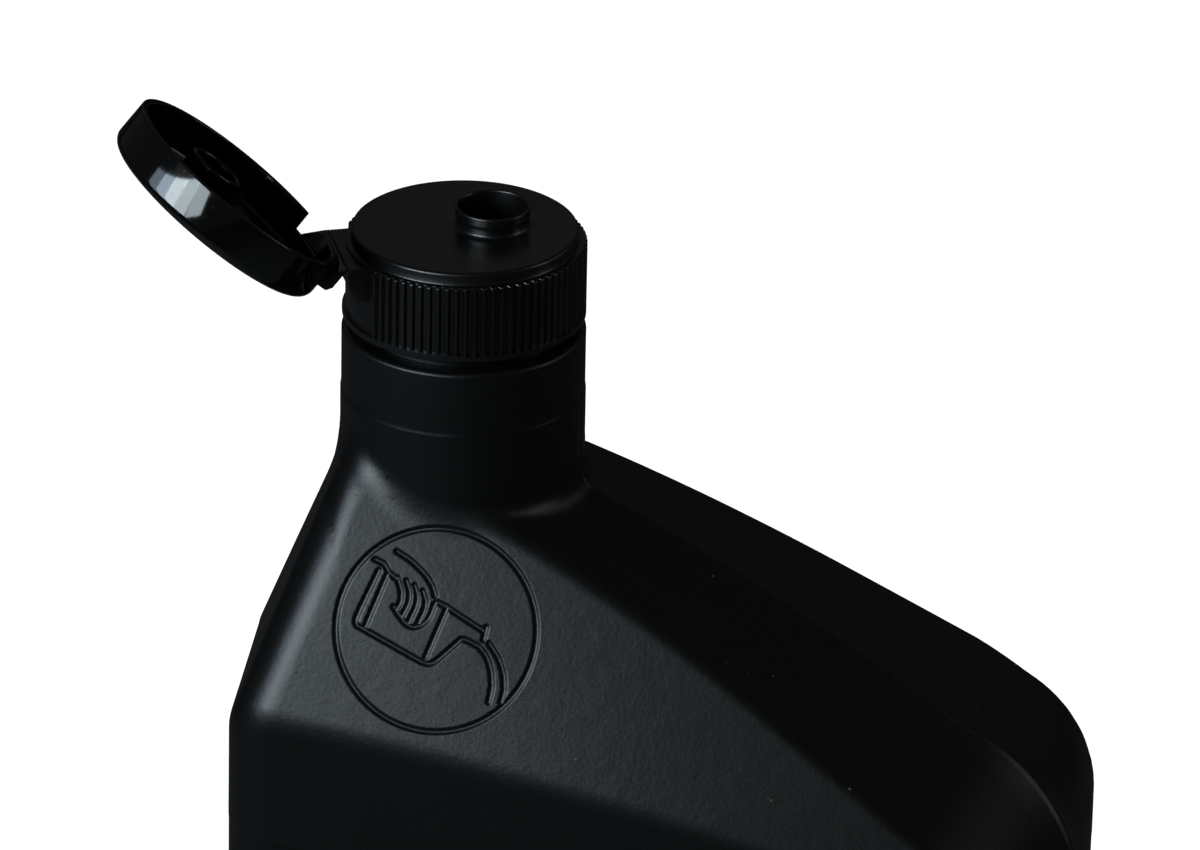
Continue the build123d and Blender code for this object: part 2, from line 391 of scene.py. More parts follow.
def cosine_between(first, second, place):
    """Cosine between the normals of two distances at these places."""
    one, two = gradient(first, place), gradient(second, place)
    return np.clip(sum(a * b for a, b in zip(one, two)), -0.95, 0.95)


def smooth_step(value):
    """Eases from 0 to 1 as the value goes from 0 to 1, and stays level beyond."""
    value = np.clip(value, 0.0, 1.0)
    return value * value * (3.0 - 2.0 * value)


def blended(start, end, share):
    """From the start at a share of 0 to the end at a share of 1."""
    return start + (end - start) * share


print("a right-angled edge rolled at 5 mm gives", round_edge(-1.0, -1.0, 0.0, 5.0).round(3))

# %% [markdown]
# ## Walls, shoulders and roof
# The outline in the parting plane has a steep left shoulder and a long roof that sags a little
# towards the neck. All of it tapers towards the front and the back by the draft that lets the
# mould open, so the roof keeps a low ridge on the parting plane. A sloped face cuts the front
# and the back. The front one is turned, crowned by a millimetre and meets the wall in a crease
# that falls to the right; the back one is plain and its crease is level. Under the crease the
# label panel is set back, and its step fades towards the narrow sides.

# %% Body distance
HALF_WIDTH, HALF_DEPTH = 73.0, 39.2
DRAFT = math.radians(6.9)
RIDGE_SOFTNESS = 0.45
BODY_SHIFT, PEAK_SOFTNESS = 1.0, 10.0
LEFT_CORNER, LEFT_SLOPE, LEFT_ROUND = 175.0, math.radians(68.0), 11.0
ROOF_CORNER, ROOF_SLOPE = 160.0, math.radians(30.8)
ROOF_ROUND, ROOF_BACK_ROUND = 36.0, 24.0
ROOF_SAG, ROOF_SAG_START, ROOF_SAG_RUN = 2.2, 25.0, 35.0
CREASE_HEIGHT, SLOPE_TURN, SLOPE_TILT = 172.7, 3.9, 25.7
BACK_CREASE_HEIGHT, BACK_EDGE, BACK_RUN = 168.0, 4.0, 10.0
LEFT_EDGE, ROOF_EDGE, CREASE_ROUND, FOOT_EDGE = 8.5, 5.0, 13.0, 6.0
EDGE_CHANGE, EDGE_RUN, ROUND_RUN = -20.0, 30.0, 30.0
CROWN_HEIGHT, CROWN_MIDDLE, CROWN_REACH = 1.0, -12.0, 62.0
ROOF_DROOP, DROOP_RUN = 1.5, 50.0
LABEL_TOP, LABEL_BOTTOM, LABEL_DEPTH, LABEL_EDGE = 151.2, 24.0, 0.6, 1.1
LABEL_SIDE, LABEL_FADE, SIDE_SHARE = 68.0, 16.0, 0.1
CREASE_FALL = math.tan(math.radians(8.03))
SLOPE_NORMAL = np.array(towards(SLOPE_TURN, SLOPE_TILT))


def across(y):
    """Distance from the parting plane, rounded over the ridge."""
    return np.sqrt(y**2 + RIDGE_SOFTNESS**2) - RIDGE_SOFTNESS


def side_gap(x, y, z):
    """Outside of the drafted outline: left wall and shoulder, roof and right wall."""
    cos_draft, sin_draft = math.cos(DRAFT), math.sin(DRAFT)
    lean = across(y) * sin_draft
    x = x - BODY_SHIFT

    def face(nx, nz, reach):
        return (nx * x + nz * z - reach) * cos_draft + lean

    left = face(-1.0, 0.0, HALF_WIDTH)
    right = face(1.0, 0.0, HALF_WIDTH)
    sx, sz = -math.sin(LEFT_SLOPE), math.cos(LEFT_SLOPE)
    shoulder = face(sx, sz, -sx * HALF_WIDTH + sz * LEFT_CORNER)
    rx, rz = math.sin(ROOF_SLOPE), math.cos(ROOF_SLOPE)
    roof = face(rx, rz, rx * HALF_WIDTH + rz * ROOF_CORNER)
    roof = roof + ROOF_SAG * np.clip((ROOF_SAG_START - x) / ROOF_SAG_RUN, 0.0, 2.0) ** 2
    roof_round = blended(ROOF_ROUND, ROOF_BACK_ROUND, smooth_step(y / ROUND_RUN))
    lean_share = sin_draft**2
    left_side = round_edge(left, shoulder, -sx * cos_draft**2 + lean_share, LEFT_ROUND)
    right_side = round_edge(roof, right, rx * cos_draft**2 + lean_share, roof_round)
    return -fill_corner(-left_side, -right_side, PEAK_SOFTNESS)


def face_gap(x, y, z):
    """Outside of the upright front and the sloped face above it."""
    wall, back = np.abs(y) - HALF_DEPTH, y > 0
    slope = (
        np.where(back, 0.0, SLOPE_NORMAL[0]) * (x - NECK_X)
        - SLOPE_NORMAL[1] * wall
        + SLOPE_NORMAL[2] * (z - np.where(back, BACK_CREASE_HEIGHT, CREASE_HEIGHT))
    )
    crown = CROWN_HEIGHT * (1.0 - np.clip((x - CROWN_MIDDLE) / CROWN_REACH, -1.0, 1.0) ** 2)
    below_roof = ROOF_CORNER - z
    from_roof = math.sin(ROOF_SLOPE) * (HALF_WIDTH - x) + math.cos(ROOF_SLOPE) * below_roof
    crown = crown - ROOF_DROOP * np.clip(1.0 - from_roof / DROOP_RUN, 0.0, 1.2) ** 2
    crown = np.where(back, 0.0, crown)
    return round_edge(wall, slope - crown, -SLOPE_NORMAL[1], CREASE_ROUND)


def label_panel(x, z):
    """Share of the label panel's set-back: 1 on the panel, less at the bottle's narrow sides."""
    top = LABEL_TOP - CREASE_FALL * (x - NECK_X)
    level = smooth_step((z - LABEL_BOTTOM) / LABEL_EDGE) * smooth_step((top - z) / LABEL_EDGE)
    middle = smooth_step((LABEL_SIDE - np.abs(x)) / LABEL_FADE)
    return level * blended(SIDE_SHARE, 1.0, middle)


def body_gap(x, y, z):
    """Outside of the whole body, without the neck."""
    side, face = side_gap(x, y, z), face_gap(x, y, z)
    front_edge = blended(ROOF_EDGE, LEFT_EDGE, smooth_step((EDGE_CHANGE - x) / EDGE_RUN))
    soft = blended(front_edge, BACK_EDGE, smooth_step(y / BACK_RUN))
    skin = round_edge(side, face, cosine_between(side_gap, face_gap, (x, y, z)), soft)
    skin = skin + LABEL_DEPTH * label_panel(x, z)
    return round_edge(skin, -z, 0.0, FOOT_EDGE)


print("middle of the front wall lies", float(body_gap(0.0, -HALF_DEPTH, 100.0)), "mm in")

# %% [markdown]
# ## Neck and thread
# The neck is turned in the mould insert: a plain column with two faint steps, a flat collar
# with a rounded edge, and above it the narrower threaded finish that the closure hides.

# %% Neck distance
NECK_RADIUS, NECK_TOP, COLLAR_ROUND = 20.7, 237.2, 0.8
FIRST_STEP, FIRST_STEP_WIDTH = 225.8, 0.14
SECOND_STEP, SECOND_STEP_WIDTH = 216.6, 0.05
STEP_SOFTNESS = 0.7
FINISH_RADIUS, MOUTH_HEIGHT, MOUTH_ROUND = 17.3, 252.6, 0.5
THREAD_PITCH, THREAD_TURNS, THREAD_BOTTOM = 4.23, 1.25, 244.51
THREAD_HEIGHT, THREAD_ROOT, THREAD_CREST, THREAD_FADE = 1.2, 1.8, 0.8, 0.03
SIDE_FILL, FRONT_FILL = 3.2, 2.4


def thread_ridge(x, y, z):
    """Height of the helical ridge on the finish."""
    turn = np.arctan2(y, x - NECK_X) / (2 * math.pi) % 1.0
    ridge = np.zeros_like(z * turn)
    for whole in range(math.ceil(THREAD_TURNS)):
        along = turn + whole
        off = np.abs(z - THREAD_BOTTOM - THREAD_PITCH * along)
        flank = (THREAD_ROOT - THREAD_CREST) / 2
        shape = np.clip((THREAD_ROOT / 2 - off) / flank, 0.0, 1.0)
        fade = smooth_step((THREAD_TURNS - along) / THREAD_FADE) * smooth_step(along / THREAD_FADE)
        ridge = np.maximum(ridge, THREAD_HEIGHT * shape * fade)
    return ridge


def neck_gap(x, y, z):
    """Outside of the column below the collar."""
    out = np.hypot(x - NECK_X, y)
    return round_edge(out - NECK_RADIUS, z - NECK_TOP, 0.0, COLLAR_ROUND)


def neck_steps(z):
    """How much wider the column is below its two faint steps."""
    wide = FIRST_STEP_WIDTH * smooth_step((FIRST_STEP - z) / STEP_SOFTNESS + 0.5)
    return wide + SECOND_STEP_WIDTH * smooth_step((SECOND_STEP - z) / STEP_SOFTNESS + 0.5)


def neck_fill(x, y):
    """Reach of the fill at the neck's foot: shorter in front and behind, where it is shallow."""
    facing = y / (np.hypot(x - NECK_X, y) + 1e-6)
    return blended(SIDE_FILL, FRONT_FILL, facing**2)


def finish_gap(x, y, z):
    """Outside of the threaded finish."""
    out = np.hypot(x - NECK_X, y) - FINISH_RADIUS - thread_ridge(x, y, z)
    return round_edge(out, z - MOUTH_HEIGHT, 0.0, MOUTH_ROUND)


print("neck steps at", FIRST_STEP, "and", SECOND_STEP, "mm")

# %% [markdown]
# ## The pouring pictogram
# A ring and a few strokes are cut in the mould as ridges, so they stand in the plastic as soft
# grooves: a hand tips a bottle and two lines of liquid run out. Each stroke is a short chain
# of points in millimetres on the sloped face, and the groove is worked out from the distance
# to the nearest stroke, so its edges are as soft as the moulded ones.

# %% Strokes of the pictogram
EMBLEM_CENTRE = np.array([-32.83, -28.96, 193.48])
EMBLEM_RIGHT = np.cross([0.0, 0.0, 1.0], SLOPE_NORMAL)
EMBLEM_RIGHT = EMBLEM_RIGHT / np.linalg.norm(EMBLEM_RIGHT)
EMBLEM_UP = np.cross(SLOPE_NORMAL, EMBLEM_RIGHT)
RING_RADIUS, DRAWING_SCALE = 17.1, 0.984
GROOVE_WIDTH, GROOVE_DEPTH, GROOVE_FLAT = 0.68, 0.26, 0.04
FACE_REACH, RING_MARGIN = 3.0, 2.0

STROKES = {
    "bottle_foot": [(-10.8, 9.3), (-14.2, 0.4), (-13.7, -0.5)],
    "foot_band": [(-9.3, 8.6), (-12.3, -0.5)],
    "bottle_side": [
        (-13.7, -0.5), (-8.0, -3.0), (-2.2, -5.6), (-0.8, -5.9), (0.3, -5.5), (4.4, -1.2),
    ],
    "shoulder": [(1.6, 4.1), (-1.4, -4.9)],
    "upper_side": [(-0.4, 4.8), (1.6, 4.1), (2.6, 3.5), (8.0, 0.7)],
    "mouth": [(8.6, 1.3), (8.3, -0.9)],
    "spout_side": [(4.4, -1.2), (5.2, -1.1), (7.6, -2.1)],
    "back_of_hand": [(-8.0, 12.8), (-5.3, 11.4), (-2.5, 9.1), (-1.1, 7.1), (-0.7, 5.8)],
    "wrist": [(-11.7, 11.1), (-10.0, 10.5), (-9.2, 9.2), (-7.8, 8.2)],
    "first_finger": [(-7.5, 8.3), (-6.6, 6.2), (-6.5, 4.2), (-7.2, 2.9)],
    "second_finger": [(-5.9, 7.9), (-5.1, 6.0), (-5.1, 4.2), (-6.1, 1.9)],
    "third_finger": [(-4.4, 7.2), (-3.7, 5.6), (-3.8, 3.8), (-4.9, 0.8)],
    "fourth_finger": [(-2.9, 6.4), (-2.2, 4.8), (-2.3, 3.2), (-3.2, 0.9)],
    "fingertips": [
        (-7.7, 3.3), (-6.6, 1.9), (-5.4, 0.6), (-4.2, 0.1), (-2.7, 0.5), (-1.4, 1.9), (-0.6, 4.6),
    ],
    "stream": [(7.6, -2.1), (9.2, -3.7), (10.3, -6.6), (10.5, -9.2), (10.2, -11.4)],
    "outer_stream": [(9.3, -1.4), (11.2, -3.7), (12.4, -6.6), (12.7, -9.2), (12.3, -11.2)],
}


def rounded_chain(points, passes=3):
    """Cuts the corners of a chain a few times, as a moulded stroke has none."""
    points = np.array(points, float)
    for _ in range(passes if len(points) > 2 else 0):
        start, end = points[:-1], points[1:]
        near = 0.8 * start + 0.2 * end
        far = 0.2 * start + 0.8 * end
        middle = np.stack([near, far], axis=1).reshape(-1, 2)[1:-1]
        points = np.concatenate([points[:1], middle, points[-1:]])
    return points


CHAINS = [DRAWING_SCALE * rounded_chain(points) for points in STROKES.values()]


def stroke_distance(right, up):
    """Distance on the face to the nearest stroke or to the ring."""
    nearest = np.abs(np.hypot(right, up) - RING_RADIUS)
    for chain in CHAINS:
        for start, end in zip(chain[:-1], chain[1:]):
            run = end - start
            share = ((right - start[0]) * run[0] + (up - start[1]) * run[1]) / (run @ run)
            share = np.clip(share, 0.0, 1.0)
            off = np.hypot(right - start[0] - share * run[0], up - start[1] - share * run[1])
            nearest = np.minimum(nearest, off)
    return nearest


def on_face(x, y, z):
    """Right and up on the sloped face, and height above it, from the pictogram's centre."""
    parts = []
    for axis in (EMBLEM_RIGHT, EMBLEM_UP, SLOPE_NORMAL):
        parts.append(
            (x - EMBLEM_CENTRE[0]) * axis[0]
            + (y - EMBLEM_CENTRE[1]) * axis[1]
            + (z - EMBLEM_CENTRE[2]) * axis[2]
        )
    return parts


def groove(x, y, z):
    """Depth of the pictogram below the sloped face."""
    right, up, above = on_face(x, y, z)
    near = (np.abs(above) < FACE_REACH) & (np.hypot(right, up) < RING_RADIUS + RING_MARGIN)
    depth = np.zeros(np.broadcast(x, y, z).shape)
    if near.any():
        off = stroke_distance(right[near], up[near])
        depth[near] = GROOVE_DEPTH * (1.0 - smooth_step((off - GROOVE_FLAT) / GROOVE_WIDTH))
    return depth


print(len(CHAINS), "strokes inside a ring of", RING_RADIUS, "mm")

# %% [markdown]
# ## The whole skin
# The neck grows out of the shoulders through a soft fill. A blown wall is never quite flat
# either: it cools unevenly and swells or sinks by a tenth of a millimetre over a few
# centimetres, which is what bends the long reflections. A fine line shows where the two
# halves of the mould met, and over the right-hand corner it widens to a bead.

# %% Bottle distance
SWELL, SWELL_BOTTOM, SWELL_TOP = 0.10, 5.0, 215.0
PARTING_HEIGHT, PARTING_WIDTH = 0.10, 0.18
BEAD_HEIGHT, BEAD_WIDTH, BEAD_START, BEAD_RUN = 0.46, 0.85, 30.0, 20.0
STEP_FADE = 4.0


def swell(x, y, z):
    """Slow unevenness of the blown wall, none at the foot and the neck."""
    waves = (
        np.sin(x / 11.0 + z / 23.0 + 0.8)
        + np.sin(z / 9.0 - x / 31.0 + 2.1)
        + np.sin((x + z) / 17.0 + y / 13.0)
    )
    risen = smooth_step((z - SWELL_BOTTOM) / 20.0)
    return SWELL * waves / 3.0 * risen * smooth_step((SWELL_TOP - z) / 10.0)


def parting_line(x, y):
    """Height of the line between the mould halves, a wider bead over the right-hand corner."""
    share = smooth_step((x - BEAD_START) / BEAD_RUN)
    height = blended(PARTING_HEIGHT, BEAD_HEIGHT, share)
    width = blended(PARTING_WIDTH, BEAD_WIDTH, share)
    return height * np.exp(-((y / width) ** 2))


def bottle_gap(x, y, z):
    """Outside of the finished bottle."""
    neck = neck_gap(x, y, z)
    body = body_gap(x, y, z)
    skin = fill_corner(body, neck, neck_fill(x, y))
    skin = skin - neck_steps(z) * smooth_step(body / STEP_FADE)
    skin = skin - swell(x, y, z) - parting_line(x, y)
    return np.minimum(skin, finish_gap(x, y, z))


def engraved_gap(x, y, z):
    """The same with the pictogram's grooves in it."""
    return bottle_gap(x, y, z) + groove(x, y, z)


print("neck fill from", SIDE_FILL, "to", FRONT_FILL, "mm")

# %% [markdown]
# ## From distance to mesh
# Rays leave the neck's axis in rings, and each stops where it meets the skin. The rings are
# level at the foot and tilt with the lower crease and the label edge, so that mesh lines run
# along them. Ray directions are spread evenly along the walls, with a few extra beside the
# parting plane.

# %% Ray directions and ring levels
RAYS = 336
PARTING_LINES = (0.13, 0.32, 0.6, 0.95, 1.4)
PARTING_MARGIN = math.radians(4.2)
OUTLINE_HEIGHT, OUTLINE_STEPS, OUTLINE_PASSES = 140.0, 4001, 60
ORDER_RADIUS = 21.0


def spread_angles(count):
    """Ray angles that space points evenly along the body's outline."""
    fine = np.linspace(0.0, 2 * math.pi, OUTLINE_STEPS)
    height = np.full(fine.shape, OUTLINE_HEIGHT)
    reach = np.full(fine.shape, 10.0)
    for _ in range(OUTLINE_PASSES):
        gap = body_gap(NECK_X + reach * np.cos(fine), reach * np.sin(fine), height)
        reach = reach - gap * 0.8
    x, y = reach * np.cos(fine), reach * np.sin(fine)
    length = np.concatenate([[0.0], np.cumsum(np.hypot(np.diff(x), np.diff(y)))])
    even = np.interp(np.linspace(0.0, length[-1], count, endpoint=False), length, fine)
    near = np.abs((even + math.pi / 2) % math.pi - math.pi / 2) < PARTING_MARGIN
    return even[~near]


def ray_origins():
    """Angle of each ray and its offset in y, in order round the axis."""
    rays = [(angle, 0.0) for angle in spread_angles(RAYS)]
    for angle in (0.0, math.pi):
        rays.append((angle, 0.0))
        rays += [(angle, sign * offset) for offset in PARTING_LINES for sign in (1, -1)]

    def place_round(ray):
        angle, offset = ray
        y = ORDER_RADIUS * math.sin(angle) + offset
        return math.atan2(y, ORDER_RADIUS * math.cos(angle))

    return np.array(sorted(rays, key=place_round))


def ring_levels():
    """Height of each ring on the neck's axis, close together where the skin turns."""
    runs = (
        (0.02, 6.0, 0.9), (6.0, 22.5, 5.5), (22.5, 26.5, 0.45), (26.5, 148.5, 6.5),
        (148.5, 152.5, 0.45), (152.5, 167.0, 2.4), (167.0, 210.0, 0.66), (210.0, 224.5, 0.75),
        (224.5, 226.0, 0.3), (226.0, 228.5, 0.3), (228.5, 236.4, 2.4), (236.4, 237.15, 0.12),
    )
    levels = []
    for low, high, step in runs:
        count = max(1, round((high - low) / step))
        levels.extend(np.linspace(low, high, count, endpoint=False))
    finish = np.arange(237.25, MOUTH_HEIGHT - MOUTH_ROUND, 0.38)
    mouth = MOUTH_HEIGHT - MOUTH_ROUND * (1.0 - np.sin(np.linspace(0.0, 1.5, 4)))
    return np.array([*levels, *finish, *mouth])


def ring_tilt(height):
    """Fall of a ring to the right: none at the foot and the neck, all of the crease's between."""
    rising = smooth_step((height - 40.0) / 100.0)
    return -CREASE_FALL * rising * smooth_step((205.0 - height) / 30.0)


rays, levels = ray_origins(), ring_levels()
print(len(rays), "rays,", len(levels), "rings")

# %% Shoot the rays
SHORTEST, LONGEST, HALVINGS = 1.0, 125.0, 26


def shoot(rays, levels):
    """Points where the rays meet the skin, one row for each ring."""
    angle, offset = rays[:, 0][None, :], rays[:, 1][None, :]
    height, tilt = levels[:, None], ring_tilt(levels)[:, None]
    shape = (len(levels), rays.shape[0])

    def place(reach):
        x = NECK_X + reach * np.cos(angle)
        y = offset + reach * np.sin(angle)
        return x, y, height + tilt * (x - NECK_X)

    near, far = np.full(shape, SHORTEST), np.full(shape, LONGEST)
    for _ in range(HALVINGS):
        middle = (near + far) / 2
        inside = bottle_gap(*place(middle)) < 0.0
        near, far = np.where(inside, middle, near), np.where(inside, far, middle)
    return np.stack(np.broadcast_arrays(*place((near + far) / 2)), axis=-1)


outer = shoot(rays, levels)
low_corner, high_corner = outer.reshape(-1, 3).min(axis=0), outer.reshape(-1, 3).max(axis=0)
print("skin from", low_corner.round(2), "to", high_corner.round(2))

# %% [markdown]
# ## Foot, mouth and the first mesh
# The bottom is pushed in, so that the bottle stands on a ring. Level rings close the flat top
# of the collar, and the mouth is open: the skin turns over its rim and runs down the bore a
# little way, into the dark.

# %% Rings for the foot, the collar and the mouth
POCKET_MARGIN, POCKET_CORNER, POCKET_DEPTH = 11.0, 14.0, 2.5
POCKET_RUN = POCKET_DEPTH * math.tan(math.radians(30.0)) + 1.0
FOOT_SHARES = (
    0.05, 0.18, 0.35, 0.5, 0.58, 0.64, 0.68, 0.71, 0.74, 0.77, 0.8, 0.83, 0.86, 0.9, 0.95, 0.985,
)
FINISH_BORE, BORE_DEPTH = 15.2, 22.0


def pocket_height(x, y):
    """Height of the pushed-in bottom above the floor."""
    reach_x, reach_y = HALF_WIDTH - POCKET_MARGIN, HALF_DEPTH - POCKET_MARGIN
    out_x = np.abs(x - BODY_SHIFT) - (reach_x - POCKET_CORNER)
    out_y = np.abs(y) - (reach_y - POCKET_CORNER)
    inside = np.minimum(np.maximum(out_x, out_y), 0)
    edge = np.hypot(np.maximum(out_x, 0), np.maximum(out_y, 0)) + inside
    return POCKET_DEPTH * smooth_step((POCKET_CORNER - edge) / POCKET_RUN)


def foot_rings():
    """Smaller and smaller copies of the lowest ring, lifted into the pushed-in bottom."""
    rings = []
    for share in FOOT_SHARES:
        ring = outer[0] * share
        ring[:, 2] = pocket_height(ring[:, 0], ring[:, 1])
        rings.append(ring)
    return rings


def level_rings(below, profile):
    """Level rings round the neck's axis, with their points above those of the ring below."""
    centre = np.array([NECK_X, 0.0, 0.0])
    around = below - centre
    around[:, 2] = 0.0
    around = around / np.linalg.norm(around, axis=1)[:, None]
    return [centre + radius * around + height * CAP_Z for radius, height in profile]


collar_top = (
    (NECK_RADIUS - 0.6 * COLLAR_ROUND, NECK_TOP - 0.03),
    (NECK_RADIUS - 1.2 * COLLAR_ROUND, NECK_TOP),
    (FINISH_RADIUS + 0.15, NECK_TOP), (FINISH_RADIUS, NECK_TOP + 0.1),
)
mouth = (
    (FINISH_BORE + 0.4, MOUTH_HEIGHT), (FINISH_BORE + 0.1, MOUTH_HEIGHT - 0.1),
    (FINISH_BORE, MOUTH_HEIGHT - 0.4), (FINISH_BORE, MOUTH_HEIGHT - BORE_DEPTH),
)
split = int(np.searchsorted(levels, NECK_TOP))
collar_rings = level_rings(outer[split - 1], collar_top)
mouth_rings = level_rings(outer[-1], mouth)
all_rings = np.stack([*foot_rings(), *outer[:split], *collar_rings, *outer[split:], *mouth_rings])
bottle_faces = skin_faces(len(all_rings), all_rings.shape[1])
bottle_points = all_rings.reshape(-1, 3)
foot_cap = list(range(all_rings.shape[1]))[::-1]
print("first mesh:", len(bottle_points), "points,", len(bottle_faces), "faces")

# %% [markdown]
# ## Finer faces under the pictogram
# Half a millimetre between points is too coarse for a groove that is under a millimetre wide.
# Only the faces beside a stroke are divided again, and their points are then pulled on to the
# engraved skin, so the drawing is real geometry and the rest of the bottle stays light.

# %% Divide and pull on to the skin
FINE_CUTS = 3
ENGRAVING_MARGIN, ENGRAVING_REACH = 0.95, 2.5


def near_stroke(places):
    """Which points lie beside a stroke or the ring, and so need finer faces."""
    right, up, above = on_face(places[:, 0], places[:, 1], places[:, 2])
    close = (np.abs(above) < ENGRAVING_REACH) & (np.hypot(right, up) < RING_RADIUS + RING_MARGIN)
    close[close] = stroke_distance(right[close], up[close]) < ENGRAVING_MARGIN
    return close


def pull_to_skin(places, distance, passes=4):
    """Moves points straight out or in until they lie on the skin."""
    places = places.copy()
    for _ in range(passes):
        x, y, z = places.T
        normal = np.stack(gradient(distance, (x, y, z)), axis=1)
        places -= distance(x, y, z)[:, None] * normal
    return places


work = mesh_to_edit(bottle_points, [*bottle_faces.tolist(), foot_cap])
work.verts.ensure_lookup_table()
work.verts.index_update()
close = near_stroke(bottle_points)
quads = [face for face in work.faces if len(face.verts) == 4]
divided = [face for face in quads if any(close[v.index] for v in face.verts)]
chosen = {edge for face in divided for edge in face.edges}
bmesh.ops.subdivide_edges(work, edges=list(chosen), cuts=FINE_CUTS, use_grid_fill=True)
places = np.array([v.co for v in work.verts])
engraved = near_stroke(places)
fine = pull_to_skin(places[engraved], bottle_gap)
places[engraved] = fine - groove(*fine.T)[:, None] * SLOPE_NORMAL
for vert, place in zip(work.verts, places.tolist()):
    vert.co = place
print("engraved mesh:", len(work.verts), "points,", len(work.faces), "faces")

# %% Finish the bottle's mesh
NORMAL_STEP, LOWEST_SKIN = 0.03, 0.05

bmesh.ops.scale(work, vec=(MM, MM, MM), verts=work.verts)
bmesh.ops.recalc_face_normals(work, faces=work.faces)
bottle_mesh = bpy.data.meshes.new("moulded_bottle")
work.to_mesh(bottle_mesh)
work.free()
bottle_mesh.shade_smooth()
bottle = bpy.data.objects.new("moulded_bottle", bottle_mesh)
bpy.context.scene.collection.objects.link(bottle)


def shade_from_skin(mesh, places):
    """Gives each point the normal of the true skin, so that the shading has no facets."""
    x, y, z = places.T
    normals = np.stack(gradient(engraved_gap, (x, y, z), NORMAL_STEP), axis=1)
    bore = (np.hypot(x - NECK_X, y) < FINISH_RADIUS - 0.5) & (z > MOUTH_HEIGHT - BORE_DEPTH - 1.0)
    pocket = (z < POCKET_DEPTH + 0.1) & (body_gap(x, y, z) < -0.5)
    mesh_normals = np.zeros(len(mesh.vertices) * 3, np.float32)
    mesh.vertices.foreach_get("normal", mesh_normals)
    keep = bore | pocket | (z < LOWEST_SKIN)
    normals[keep] = mesh_normals.reshape(-1, 3)[keep]
    mesh.normals_split_custom_set_from_vertices(normals.tolist())


shade_from_skin(bottle_mesh, places)
print("bottle:", sum(len(p.vertices) - 2 for p in bottle_mesh.polygons), "triangles")
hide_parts("bottle")
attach(bottle, "bottle")

# %% [markdown]
# ## The closure's base
# The ribbed skirt, the deck and the spout are one moulding. Its skin is again a stack of
# rings: up inside the skirt, round its lower band, up the ribs, over the ledge and the deck,
# and then up and down the spout, whose rings slide over to the spout's own axis. The ribs come
# from the ring's radius, with ten points to a rib so that each has a rounded crest.

# %% Ribbed base
RIB_COUNT, POINTS_PER_RIB = 83, 10
SKIRT_RADIUS, RIB_HEIGHT, PLAIN_HALF_ANGLE = 20.1, 0.55, 29.0
SKIRT_FOOT, RIB_CREST, RIB_FLANK = -15.7, 0.2, 0.32
SPOUT_OFFSET, SPOUT_FOOT, DECK_EDGE, UNDER_DECK = 4.7, 6.95, 18.3, -1.4
# Each profile is a chain of radius and height
SKIRT_BAND = (
    (18.85, 0.4), (18.98, 0.1), (19.2, 0.0), (20.3, 0.0), (20.52, 0.07), (20.62, 0.2),
    (20.65, 0.4), (20.65, 1.0), (20.65, 1.2),
)
LEDGE_AND_DECK = (
    (19.45, -2.15), (19.24, -2.11), (19.15, -1.95), (19.15, -0.6), (19.12, -0.38),
    (19.02, -0.18), (18.85, -0.06), (18.6, 0.0), (DECK_EDGE, 0.0),
)
SPOUT = (
    (6.6, 0.05), (6.35, 0.18), (6.2, 0.42), (6.14, 0.75), (6.12, 1.5), (6.16, 1.66),
    (6.27, 1.82), (6.34, 2.0), (6.35, 2.2), (6.35, 3.25), (6.31, 3.45), (6.2, 3.57),
    (6.08, 3.6), (5.96, 3.57), (5.85, 3.46), (5.8, 3.25), (5.8, 0.5), (5.8, -2.4),
    (5.9, -2.58), (6.7, -2.6), (6.85, -2.5), (6.9, UNDER_DECK),
)
# Share of a rib's height that fills the gaps between ribs, and height over the skirt's foot
RIB_FEET = ((0.96, 1.22), (0.0, 1.22), (0.0, 1.45), (0.0, 6.0), (0.0, 12.7), (0.0, 13.1))
# Share of a rib's height that is left, and height, where the ribs round over to the ledge
RIB_HEADS = ((0.97, -2.42), (0.85, -2.26), (0.6, -2.18), (0.0, -2.15))


def rib_shape(angle):
    """1 on a rib's crest and 0 between ribs; plain beside the hinge."""
    pitch = 2 * math.pi / RIB_COUNT
    off = np.abs((angle / pitch) % 1.0 - 0.5) * pitch * SKIRT_RADIUS
    shape = smooth_step((RIB_CREST + RIB_FLANK - off) / RIB_FLANK)
    from_hinge = np.abs(np.degrees(angle) - 180.0)
    return np.where(from_hinge > PLAIN_HALF_ANGLE, shape, 0.0)


def ring_at(angle, radius, height, centre=0.0):
    """One ring of points; radius may vary round it."""
    x = centre + radius * np.cos(angle)
    y = radius * np.sin(angle)
    return np.stack(np.broadcast_arrays(x, y, height), axis=-1)


def rings_along(angle, profile, rise=0.0, centre=0.0):
    """A ring for each radius and height of a profile."""
    return [ring_at(angle, radius, rise + height, centre) for radius, height in profile]


def base_rings():
    count = RIB_COUNT * POINTS_PER_RIB
    angle = 2 * math.pi * (np.arange(count) + 0.5) / count
    rib = rib_shape(angle)
    rings = [ring_at(angle, SKIRT_BAND[0][0], UNDER_DECK)]
    rings += rings_along(angle, SKIRT_BAND, SKIRT_FOOT)
    for fill, height in RIB_FEET:
        radius = SKIRT_RADIUS + RIB_HEIGHT * (rib + (1 - rib) * fill)
        rings.append(ring_at(angle, radius, SKIRT_FOOT + height))
    for share, height in RIB_HEADS:
        radius = SKIRT_RADIUS - 0.12 * (1 - share) + RIB_HEIGHT * rib * share
        rings.append(ring_at(angle, radius, height))
    rings += rings_along(angle, LEDGE_AND_DECK)
    for share in (0.15, 0.4, 0.65, 0.85, 1.0):
        radius = blended(DECK_EDGE, SPOUT_FOOT, share)
        rings.append(ring_at(angle, radius, 0.0, SPOUT_OFFSET * share))
    rings += rings_along(angle, SPOUT, 0.0, SPOUT_OFFSET)
    rings.append(ring_at(angle, 12.5, UNDER_DECK, SPOUT_OFFSET / 2))
    return np.stack(rings)


